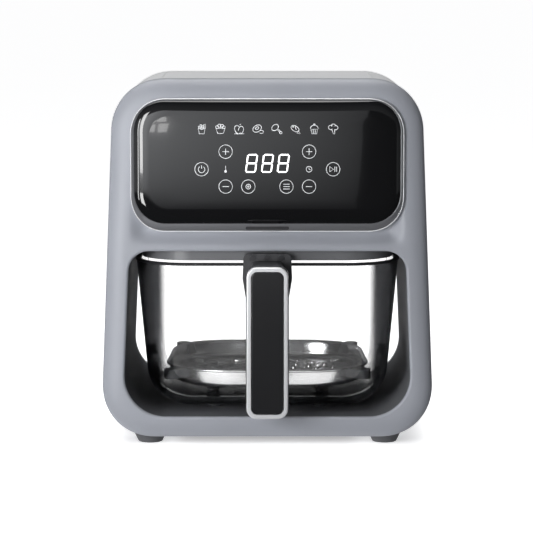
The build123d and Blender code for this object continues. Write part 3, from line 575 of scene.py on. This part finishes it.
def line_art(name, strokes, thickness):
    """Thin round lines lying in the lens's face; each stroke is (points in X and Z, closed)."""
    data = bpy.data.curves.new(name, "CURVE")
    data.dimensions = "3D"
    data.bevel_depth = thickness
    data.bevel_resolution = 1
    for points, closed in strokes:
        spline = data.splines.new("POLY")
        spline.points.add(len(points) - 1)
        for target, (x, z) in zip(spline.points, points):
            target.co = (*on_lens(x, z), 1)
        spline.use_cyclic_u = closed
    obj = bpy.data.objects.new(name, data)
    bpy.context.scene.collection.objects.link(obj)
    obj.data.materials.append(PRINT_WHITE)
    return finish_piece(obj, "housing", "panel_black")


def arc(cx, cz, rx, rz, start=0, end=360, turn=0, steps=28):
    """Points of an ellipse, or part of one, turned about its middle."""
    points = []
    t = radians(turn)
    whole = abs(end - start) >= 360
    for step in range(steps if whole else steps + 1):
        a = radians(start + (end - start) * step / steps)
        u, v = rx * cos(a), rz * sin(a)
        points.append((cx + u * cos(t) - v * sin(t), cz + u * sin(t) + v * cos(t)))
    return points, whole


def icon_fries():
    strokes = [([(-3.2, 0.6), (-2.2, -4.4), (2.2, -4.4), (3.2, 0.6), (0, -0.4)], True)]
    for x, top in ((-2.8, 2.6), (-1.2, 4.0), (0.6, 3.4), (2.2, 4.2)):
        strokes.append(([(x, 0.4), (x - 0.3, top), (x + 1.1, top), (x + 1.1, 0.3)], False))
    return strokes


def icon_bowl():
    strokes = [([(-4.2, 0.4), (-2.4, -4.0), (2.4, -4.0), (4.2, 0.4)], True)]
    for x, z, r in ((-2.9, 1.7, 1.4), (-0.9, 2.9, 1.6), (1.3, 2.8, 1.5), (3.0, 1.6, 1.3)):
        strokes.append(arc(x, z, r, r, 0, 360, 0, 14))
    return strokes


def icon_loaf():
    return [arc(-1.4, -0.6, 2.6, 4.0, 20, 300, 25), arc(1.6, -0.8, 2.3, 3.4, -60, 200, -15),
            ([(-4.4, -4.4), (4.4, -4.4)], False), ([(0.6, 3.6), (1.6, 4.6)], False)]


def icon_steak():
    return [arc(-0.8, 0.4, 4.2, 3.0, 0, 360, 30), arc(-0.8, 0.8, 1.6, 1.1, 0, 360, 30),
            arc(3.0, -2.6, 2.0, 1.4, -140, 120)]


def icon_drumstick():
    return [arc(-1.5, 1.4, 3.4, 2.5, 0, 360, 40), ([(0.5, -0.6), (2.7, -3.0)], False),
            ([(1.3, 0.0), (3.5, -2.2)], False), arc(3.7, -3.3, 1.1, 1.1, 0, 360, 0, 12)]


def icon_fish():
    return [arc(-0.4, 0.4, 4.0, 2.4, 0, 360, -30), ([(2.6, -1.4), (4.4, -4.0), (1.4, -3.8)], True),
            arc(-2.2, 2.0, 0.5, 0.5, 0, 360, 0, 8), ([(-0.4, 2.4), (0.6, -0.6)], False)]


def icon_cake():
    return [([(-3.0, -0.2), (-2.2, -4.4), (2.2, -4.4), (3.0, -0.2)], True), arc(0, 0.2, 3.6, 3.4, 0, 180),
            arc(0, 4.1, 0.7, 0.7, 0, 360, 0, 10), ([(-1.0, -0.6), (-0.8, -4.0)], False),
            ([(1.0, -0.6), (0.8, -4.0)], False)]


def icon_greens():
    return [arc(-2.2, 1.4, 2.0, 2.0, 40, 320, 0, 16), arc(0.4, 3.0, 1.9, 1.6, -10, 200, 0, 14),
            arc(2.6, 1.2, 1.9, 1.9, -130, 130, 0, 16), ([(-1.1, -0.2), (0.2, -4.4), (1.6, -4.4), (1.6, -0.2)], False)]


def placed(strokes, x, z, scale):
    return [([(x + px * scale, z + pz * scale) for px, pz in points], closed) for points, closed in strokes]


def button(x, z):
    return arc(x, z, RING_R, RING_R, 0, 360, 0, 44)


def make_marks():
    icons = (icon_fries, icon_bowl, icon_loaf, icon_steak, icon_drumstick, icon_fish, icon_cake, icon_greens)
    strokes = []
    for index, icon in enumerate(icons):
        strokes += placed(icon(), (index - 3.5) * ICON_PITCH, ICON_Z, ICON)
    line_art("food_icons", strokes, MARK_LINE)

    mid, side, far = 260.8 * MM, 38.3 * MM, 60.4 * MM
    up, down, inner = 277.0 * MM, 244.8 * MM, 17.5 * MM
    rings = [button(x, z) for x, z in ((-far, mid), (far, mid), (-side, up), (side, up), (-side, down), (side, down),
                                      (-inner, down), (inner, down))]
    line_art("touch_rings", rings, RING_LINE)

    arm = 2.9
    glyphs = []
    for x in (-side, side):
        glyphs += placed([([(-arm, 0), (arm, 0)], False)], x, up, MM)
        glyphs += placed([([(0, -arm), (0, arm)], False)], x, up, MM)
        glyphs += placed([([(-arm, 0), (arm, 0)], False)], x, down, MM)
    glyphs += placed([arc(0, -0.2, 3.0, 3.0, 125, 415), ([(0, 0.6), (0, 3.6)], False)], -far, mid, MM)
    glyphs += placed([([(-3.2, -2.4), (-3.2, 2.4), (0.4, 0)], True), ([(1.6, -2.4), (1.6, 2.4)], False),
                      ([(3.2, -2.4), (3.2, 2.4)], False)], far, mid, MM)
    for z in (-2.2, 0, 2.2):
        glyphs += placed([([(-2.9, z), (2.9, z)], False)], inner, down, MM)
    glyphs += placed([arc(0, 0, 2.2, 2.2, 0, 360, 0, 20), arc(0, 0, 0.7, 0.7, 0, 360, 0, 8)], -inner, down, MM)
    glyphs += placed([([(0, 3.0), (0, -1.0)], False), arc(0, -2.0, 0.9, 0.9, 0, 360, 0, 10),
                      arc(0, -2.0, 0.45, 0.45, 0, 360, 0, 8)], -side, mid, MM)
    glyphs += placed([arc(0, 0, 2.6, 2.6, 0, 360, 0, 24), ([(0, 1.6), (0, 0), (1.3, -0.5)], False)], side, mid, MM)
    line_art("touch_glyphs", glyphs, MARK_LINE)


DIGIT_W, DIGIT_H = 10.0 * MM, 17.2 * MM
DIGIT_Z = 266.2 * MM
DIGIT_X = (-14.5 * MM, 0.1 * MM, 14.6 * MM)
DIGIT_SLANT = 0.13
SEGMENT = 1.35 * MM
SEGMENT_GAP = 0.28 * MM


def segment_shape(ax, az, bx, bz):
    """A bar with pointed ends between two points, as six corners."""
    length = hypot(bx - ax, bz - az)
    ux, uz = (bx - ax) / length, (bz - az) / length
    h = SEGMENT / 2
    ax, az, bx, bz = ax + ux * SEGMENT_GAP, az + uz * SEGMENT_GAP, bx - ux * SEGMENT_GAP, bz - uz * SEGMENT_GAP
    return [(ax, az), (ax + ux * h - uz * h, az + uz * h + ux * h), (bx - ux * h - uz * h, bz - uz * h + ux * h),
            (bx, bz), (bx - ux * h + uz * h, bz - uz * h - ux * h), (ax + ux * h + uz * h, az + uz * h - ux * h)]


def make_digits():
    """Three seven-segment digits, all lit, leaning a little."""
    w, h = DIGIT_W / 2 - SEGMENT / 2, DIGIT_H / 2 - SEGMENT / 2
    bars = ((-w, h, w, h), (-w, 0, w, 0), (-w, -h, w, -h), (-w, 0, -w, h), (w, 0, w, h), (-w, -h, -w, 0),
            (w, -h, w, 0))
    points, faces = [], []
    for middle in DIGIT_X:
        for bar in bars:
            start = len(points)
            shape = segment_shape(*bar)
            for depth in (-0.35 * MM, 0.25 * MM):
                for x, z in shape:
                    points.append(on_lens(middle + x + z * DIGIT_SLANT, DIGIT_Z + z, depth))
            faces.append(tuple(range(start + 6, start + 12)))
            for k in range(6):
                n = (k + 1) % 6
                faces.append((start + k, start + n, start + 6 + n, start + 6 + k))
    digits = outward(add_mesh("display_digits", points, faces, smooth=False))
    digits.data.materials.append(DIGIT_WHITE)
    finish_piece(digits, "housing", "display_black")


make_marks()
make_digits()


# ------------------------------------------------------------------ glass vessel

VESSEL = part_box("glass_vessel")
GLASS_LOW, GLASS_HIGH = VESSEL[0][2], VESSEL[1][2]
GLASS_HALF_X = (110.2 * MM, 123.4 * MM)
GLASS_HALF_Y = (104.8 * MM, 118.0 * MM)
GLASS_R = (38 * MM, 51.2 * MM)
FLOOR_ROUND = 34 * MM
GLASS_WALL = 4 * MM
GLASS_FLOOR = 6 * MM
CORNER_FILL = 3 * MM         # how much rounder the inside corners are


def vessel_ring(z, inset, corner_fill=0.0):
    """The vessel's outline at a height; corner_fill rounds the inside more, as pressed glass is thick there."""
    share = (z - GLASS_LOW) / (GLASS_HIGH - GLASS_LOW)
    half_x, half_y, radius = [low + (high - low) * share for low, high in (GLASS_HALF_X, GLASS_HALF_Y, GLASS_R)]
    radius = max(radius - inset, 3 * MM) + corner_fill
    return plan_ring(plan_outline(half_x - inset, half_y - inset, radius), BASKET_Y, z)


def floor_inset(z, low, radius):
    """How far a rounded bottom edge draws the wall in at a height."""
    if z >= low + radius:
        return 0.0
    drop = min((low + radius - z) / radius, 1.0)
    return radius * (1 - (1 - drop * drop) ** 0.5)


def make_vessel():
    """Thick clear glass with a soft bottom edge and a rounded rim."""
    heights = [GLASS_LOW + FLOOR_ROUND * (1 - sin(radians(90 - 7.5 * k))) for k in range(13)]
    rings = [vessel_ring(z, floor_inset(z, GLASS_LOW, FLOOR_ROUND)) for z in heights]
    top = GLASS_HIGH - GLASS_WALL / 2
    steps = 8
    start = GLASS_LOW + FLOOR_ROUND
    rings += [vessel_ring(start + (top - start) * k / steps, 0) for k in range(1, steps + 1)]
    for k in range(1, 8):
        angle = radians(22.5 * k)
        rings.append(vessel_ring(top + GLASS_WALL / 2 * sin(angle), GLASS_WALL / 2 * (1 - cos(angle))))
    low = GLASS_LOW + GLASS_FLOOR
    inner_round = FLOOR_ROUND - GLASS_WALL
    start = low + inner_round
    for k in range(steps + 1):
        fill = CORNER_FILL * min(1.0, 3.0 * k / steps)
        rings.append(vessel_ring(top + (start - top) * k / steps, GLASS_WALL, fill))
    for k in range(1, 13):
        z = low + inner_round * (1 - sin(radians(7.5 * k)))
        rings.append(vessel_ring(z, GLASS_WALL + floor_inset(z, low, inner_round), CORNER_FILL))
    vessel = outward(loft("glass_bowl", rings, cap_first=True, cap_last=True))
    sharpen(vessel, 60)
    finish_piece(vessel, "basket", "clear_glass", ["glass_vessel"])


make_vessel()


RIM_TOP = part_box("rim_band")[1][2]
RIM_DEEP = 2.6 * MM          # how far the seal comes down
RIM_ROUND = 1.1 * MM
RIM_OUTSIDE = 0.9 * MM       # how far its bead stands out from the glass on each side
RIM_FOOT = 0.3 * MM          # and its lower edge


def make_rim():
    """A thin dark seal pressed over the glass's top edge."""
    low = RIM_TOP - RIM_DEEP
    half = GLASS_WALL / 2 + RIM_OUTSIDE
    rings = [vessel_ring(low, -RIM_FOOT)]
    for k in range(9):
        angle = radians(22.5 * k)
        rings.append(vessel_ring(RIM_TOP - RIM_ROUND * (1 - sin(angle)), half * (1 - cos(angle)) - RIM_OUTSIDE))
    rings.append(vessel_ring(low, GLASS_WALL + RIM_FOOT))
    rim = outward(loft("rim_seal", rings, wrap=True))
    sharpen(rim, 50)
    finish_piece(rim, "basket", "dark_plastic", ["rim_band"])


make_rim()


# ------------------------------------------------------------------ crisper tray

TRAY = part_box("crisper_tray")
TRAY_HALF = TRAY[1][0]
TRAY_LOW, TRAY_HIGH = TRAY[0][2], TRAY[1][2]
TRAY_R = 62 * MM
TRAY_SHEET = 1.0 * MM
TRAY_SLOPE = 3.0 * MM        # how much narrower the tray is at its floor
TRAY_FOOT_R = 5.0 * MM
TRAY_RIM_R = 1.5 * MM        # of the rolled rim
RIB_WIDE = 5.4 * MM
RIB_LONG = 15 * MM
RIB_HIGH = 2.6 * MM
RIB_LEAN = radians(62)       # from the line out of the tray's middle
RIB_CIRCLES = ((16 * MM, 6), (34 * MM, 12), (52 * MM, 18), (70 * MM, 24))   # radius and number of ribs
CORNER_RIB = 68 * MM
DOME_AROUND = 20
DOME_LEVELS = ((1.0, 0.0), (0.93, 0.55), (0.75, 0.85), (0.45, 1.0))         # share of width, share of height


def tray_ring(inset, z):
    return plan_ring(plan_outline(TRAY_HALF - inset, TRAY_HALF - inset, TRAY_R - inset * 0.8), BASKET_Y, z)


def dome(points, faces, cx, cy, length, width, turn):
    """A raised rib with rounded ends, added to a mesh; its foot is at the tray's floor."""
    start = len(points)
    around = DOME_AROUND
    for grow, lift in DOME_LEVELS:
        for k in range(around):
            a = 2 * pi * k / around
            straight = (length - width) / 2 * (1 if cos(a) > 0 else -1)
            x = straight + width / 2 * grow * cos(a)
            y = width / 2 * grow * sin(a)
            points.append((cx + x * cos(turn) - y * sin(turn), cy + x * sin(turn) + y * cos(turn),
                           TRAY_LOW + TRAY_SHEET + RIB_HIGH * lift))
    for level in range(len(DOME_LEVELS) - 1):
        a, b = start + level * around, start + (level + 1) * around
        for k in range(around):
            n = (k + 1) % around
            faces.append((a + k, a + n, b + n, b + k))
    last = start + (len(DOME_LEVELS) - 1) * around
    faces.append(tuple(range(last, last + around)))


def make_tray():
    """A pressed steel dish with a rolled rim and raised ribs on its floor."""
    rings = []
    for k in range(7):
        a = radians(15 * k)
        rings.append(tray_ring(TRAY_SLOPE + TRAY_FOOT_R * (1 - sin(a)), TRAY_LOW + TRAY_FOOT_R * (1 - cos(a))))
    rim = TRAY_RIM_R
    rings.append(tray_ring(2 * rim, TRAY_HIGH - 2 * rim))
    for k in range(9):
        a = radians(-90 + 30 * k)
        rings.append(tray_ring(rim * (1 - cos(a)), TRAY_HIGH - rim + rim * sin(a)))
    rings.append(tray_ring(2 * rim + TRAY_SHEET, TRAY_HIGH - 2 * rim))
    for k in range(7):
        a = radians(90 - 15 * k)
        rings.append(tray_ring(TRAY_SLOPE + TRAY_SHEET + TRAY_FOOT_R * (1 - sin(a)),
                               TRAY_LOW + TRAY_SHEET + TRAY_FOOT_R * (1 - cos(a))))
    dish = outward(loft("tray_dish", rings, cap_first=True, cap_last=True))
    sharpen(dish, 50)
    finish_piece(dish, "tray", "steel", ["crisper_tray"])

    points, faces = [], []
    for circle, (radius, count) in enumerate(RIB_CIRCLES):
        for k in range(count):
            a = 2 * pi * (k + 0.5 * (circle % 2)) / count
            dome(points, faces, radius * cos(a), BASKET_Y + radius * sin(a), RIB_LONG, RIB_WIDE, a + RIB_LEAN)
    for sx in (-1, 1):
        for sy in (-1, 1):
            dome(points, faces, sx * CORNER_RIB, BASKET_Y + sy * CORNER_RIB, 18 * MM, 6 * MM, radians(45 * sx * sy))
    ribs = outward(add_mesh("tray_ribs", points, faces))
    sharpen(ribs, 40)
    finish_piece(ribs, "tray", "steel")


make_tray()


# ------------------------------------------------------------------ camera, light and floor

CAMERA_DISTANCE = 2.920      # from the body's front face
CAMERA_HEIGHT = 0.533
CAMERA_SIDE = -0.0008
CAMERA_TILT = 7.09           # degrees below level
SENSOR_WIDTH = 36
FOCAL_WIDTHS = 3184 / 533    # the focal length, in widths of the frame


def make_camera():
    data = bpy.data.cameras.new("camera")
    data.sensor_width = SENSOR_WIDTH
    data.lens = FOCAL_WIDTHS * SENSOR_WIDTH
    data.clip_start, data.clip_end = 0.05, 60
    camera = bpy.data.objects.new("camera", data)
    camera.location = (CAMERA_SIDE, FRONT - CAMERA_DISTANCE, CAMERA_HEIGHT)
    camera.rotation_euler = (radians(90 - CAMERA_TILT), 0, 0)
    bpy.context.scene.collection.objects.link(camera)
    bpy.context.scene.camera = camera


def area_light(name, location, target, size, power, color=(1, 1, 1), mirrored=True):
    data = bpy.data.lights.new(name, "AREA")
    data.shape = "RECTANGLE"
    data.size, data.size_y = size
    data.energy = power
    data.color = color
    lamp = bpy.data.objects.new(name, data)
    lamp.location = location
    lamp.rotation_euler = (Vector(target) - Vector(location)).to_track_quat("-Z", "Y").to_euler()
    lamp.visible_glossy = mirrored
    bpy.context.scene.collection.objects.link(lamp)
    return lamp


def make_world():
    """A soft studio: light from the left and from below, dim overhead and on the right."""
    world = bpy.data.worlds.new("studio")
    bpy.context.scene.world = world
    world.use_nodes = True
    nodes, links = world.node_tree.nodes, world.node_tree.links
    place = nodes.new("ShaderNodeTexCoord")
    split = nodes.new("ShaderNodeSeparateXYZ")
    links.new(place.outputs["Generated"], split.inputs["Vector"])
    rightness = mapped(nodes, links, split.outputs["X"], -1.0, 1.0, smooth=False)
    across = ramp_node(nodes, links, rightness, (0.66, 0.665, 0.68), (0.13, 0.135, 0.14), 0.0, 1.0)
    height = mapped(nodes, links, split.outputs["Z"], -1.0, 1.0, smooth=False)
    up = ramp_node(nodes, links, height, (2.00, 2.00, 2.02), (0.12, 0.12, 0.13), 0.15, 0.80)
    middle = up.color_ramp.elements.new(0.5)
    middle.color = (0.50, 0.50, 0.50, 1)
    mix = nodes.new("ShaderNodeMix")
    mix.data_type = "RGBA"
    mix.blend_type = "MULTIPLY"
    mix.inputs["Factor"].default_value = 1.0
    links.new(across.outputs["Color"], mix.inputs["A"])
    links.new(up.outputs["Color"], mix.inputs["B"])
    links.new(mix.outputs["Result"], nodes["Background"].inputs["Color"])
    nodes["Background"].inputs["Strength"].default_value = 1.0


SHADE_X = (0.165, 0.120)     # painted shadow: the floor's glow dims under the body between these, from open to dim
SHADE_IN, SHADE_OUT = 0.055, -0.004


def make_floor():
    """White glowing floor with a painted shadow, its glow dimmer under the body; it isn't mirrored in gloss or
    bounced onto the sides.
    """
    floor = add_mesh("floor", [(-30, -9, 0), (30, -9, 0), (30, 60, 0), (-30, 60, 0)], [(0, 1, 2, 3)], smooth=False)
    material, nodes, links, shader = new_material("floor_white")
    speck = noise_node(nodes, links, 3, 2.0)
    tint = ramp_node(nodes, links, speck.outputs["Fac"], (0.80, 0.80, 0.80), (0.82, 0.82, 0.82))
    links.new(tint.outputs["Color"], shader.inputs["Base Color"])
    shader.inputs["Roughness"].default_value = 0.9
    shader.inputs["Specular IOR Level"].default_value = 0.0
    x, y, _ = object_axes(nodes, links)
    across = computed(nodes, links, "ABSOLUTE", x)
    along = computed(nodes, links, "MULTIPLY", mapped(nodes, links, y, FRONT + SHADE_OUT, FRONT + SHADE_IN),
                     mapped(nodes, links, y, BACK - SHADE_OUT, BACK - SHADE_IN))
    under = computed(nodes, links, "MULTIPLY", mapped(nodes, links, across, *SHADE_X), along)
    # painted shadow: the glow falls to this grey under the body
    glow = ramp_node(nodes, links, under, (1, 1, 1), (0.42, 0.42, 0.425), 0.0, 1.0)
    links.new(glow.outputs["Color"], shader.inputs["Emission Color"])
    shader.inputs["Emission Strength"].default_value = 0.93
    floor.data.materials.append(material)
    floor.visible_glossy = False
    floor.visible_diffuse = False


CARD_SIDE_FADE = (0.55, -0.95)   # a fading card is dark at the first X and full at the second


def card(name, corners, color, strength, fade=None):
    """A flat card that is only seen mirrored in gloss; fade is the heights where it is dark and where full."""
    sheet = add_mesh(name, corners, [(0, 1, 2, 3)], smooth=False)
    material, nodes, links, shader = new_material(name)
    shader.inputs["Base Color"].default_value = (0, 0, 0, 1)
    shader.inputs["Roughness"].default_value = 1.0
    shader.inputs["Specular IOR Level"].default_value = 0.0
    shader.inputs["Emission Color"].default_value = (*color, 1)
    shader.inputs["Emission Strength"].default_value = strength
    if fade:
        x, _, z = object_axes(nodes, links)
        level = mapped(nodes, links, z, *fade)
        side = mapped(nodes, links, x, *CARD_SIDE_FADE, smooth=False)
        both = computed(nodes, links, "MULTIPLY", level, side)
        dim = ramp_node(nodes, links, both, (0.02, 0.02, 0.02), color, 0.0, 1.0)
        links.new(dim.outputs["Color"], shader.inputs["Emission Color"])
    sheet.data.materials.append(material)
    sheet.visible_camera = False
    sheet.visible_diffuse = False
    sheet.visible_shadow = False
    sheet.visible_transmission = False
    return sheet


bpy.context.scene.view_settings.view_transform = "Standard"
make_camera()
make_world()
make_floor()
area_light("key_left", (-0.52, -0.98, 0.22), (-0.06, FRONT, 0.12), (0.5, 0.5), 9.2, (0.97, 0.98, 1.0),
           mirrored=False)
area_light("top_soft", (-0.1, 0.1, 1.5), (0, 0.05, 0), (1.6, 1.2), 19)

# Far behind the camera: a grey card that grades the panel's gloss, a dark one beside it, and a low dark one
WHITE = (1, 1, 1)
CARD_Y = -4.4
CARD_LOW, CARD_HIGH = -2.2, 0.9
card("card_grey", [(-3.0, CARD_Y, CARD_LOW), (0.10, CARD_Y, CARD_LOW), (0.42, CARD_Y, CARD_HIGH),
                   (-3.0, CARD_Y, CARD_HIGH)], (0.95, 0.97, 1.0), 2.1, (-0.46, -0.02))
card("card_dark", [(0.10, CARD_Y, CARD_LOW), (3.0, CARD_Y, CARD_LOW), (3.0, CARD_Y, CARD_HIGH),
                   (0.42, CARD_Y, CARD_HIGH)], WHITE, 0.03)
card("card_low", [(-2.0, -1.5, -0.02), (2.0, -1.5, -0.02), (2.0, FRONT - 0.01, -0.02), (-2.0, FRONT - 0.01, -0.02)],
     WHITE, 0.03)

# Bright strips to the left, for the streaks
for name, x, wide, low, high in (("streak_low", -0.50, 0.13, -0.10, 0.12), ("streak_high", -0.50, 0.13, 0.17, 0.52),
                                 ("streak_side", -0.72, 0.07, -0.05, 0.50)):
    card(name, [(x, -0.95, low), (x + wide, -0.98, low), (x + wide, -0.98, high), (x, -0.95, high)], WHITE, 9.0)

# Four leaning panes, for the window in the panel's gloss
PANE = 0.055
PANE_GAP_X, PANE_GAP_Z = 0.018, 0.016
PANE_LEAN = 0.012
PANE_Y = CARD_Y + 0.1
for column in range(2):
    for row in range(2):
        x, z = -0.475 + column * (PANE + PANE_GAP_X), row * (PANE + PANE_GAP_Z)
        card("window_%d%d" % (column, row), [(x, PANE_Y, z), (x + PANE, PANE_Y, z),
                                             (x + PANE + PANE_LEAN, PANE_Y, z + PANE),
                                             (x + PANE_LEAN, PANE_Y, z + PANE)], WHITE, 5.5)
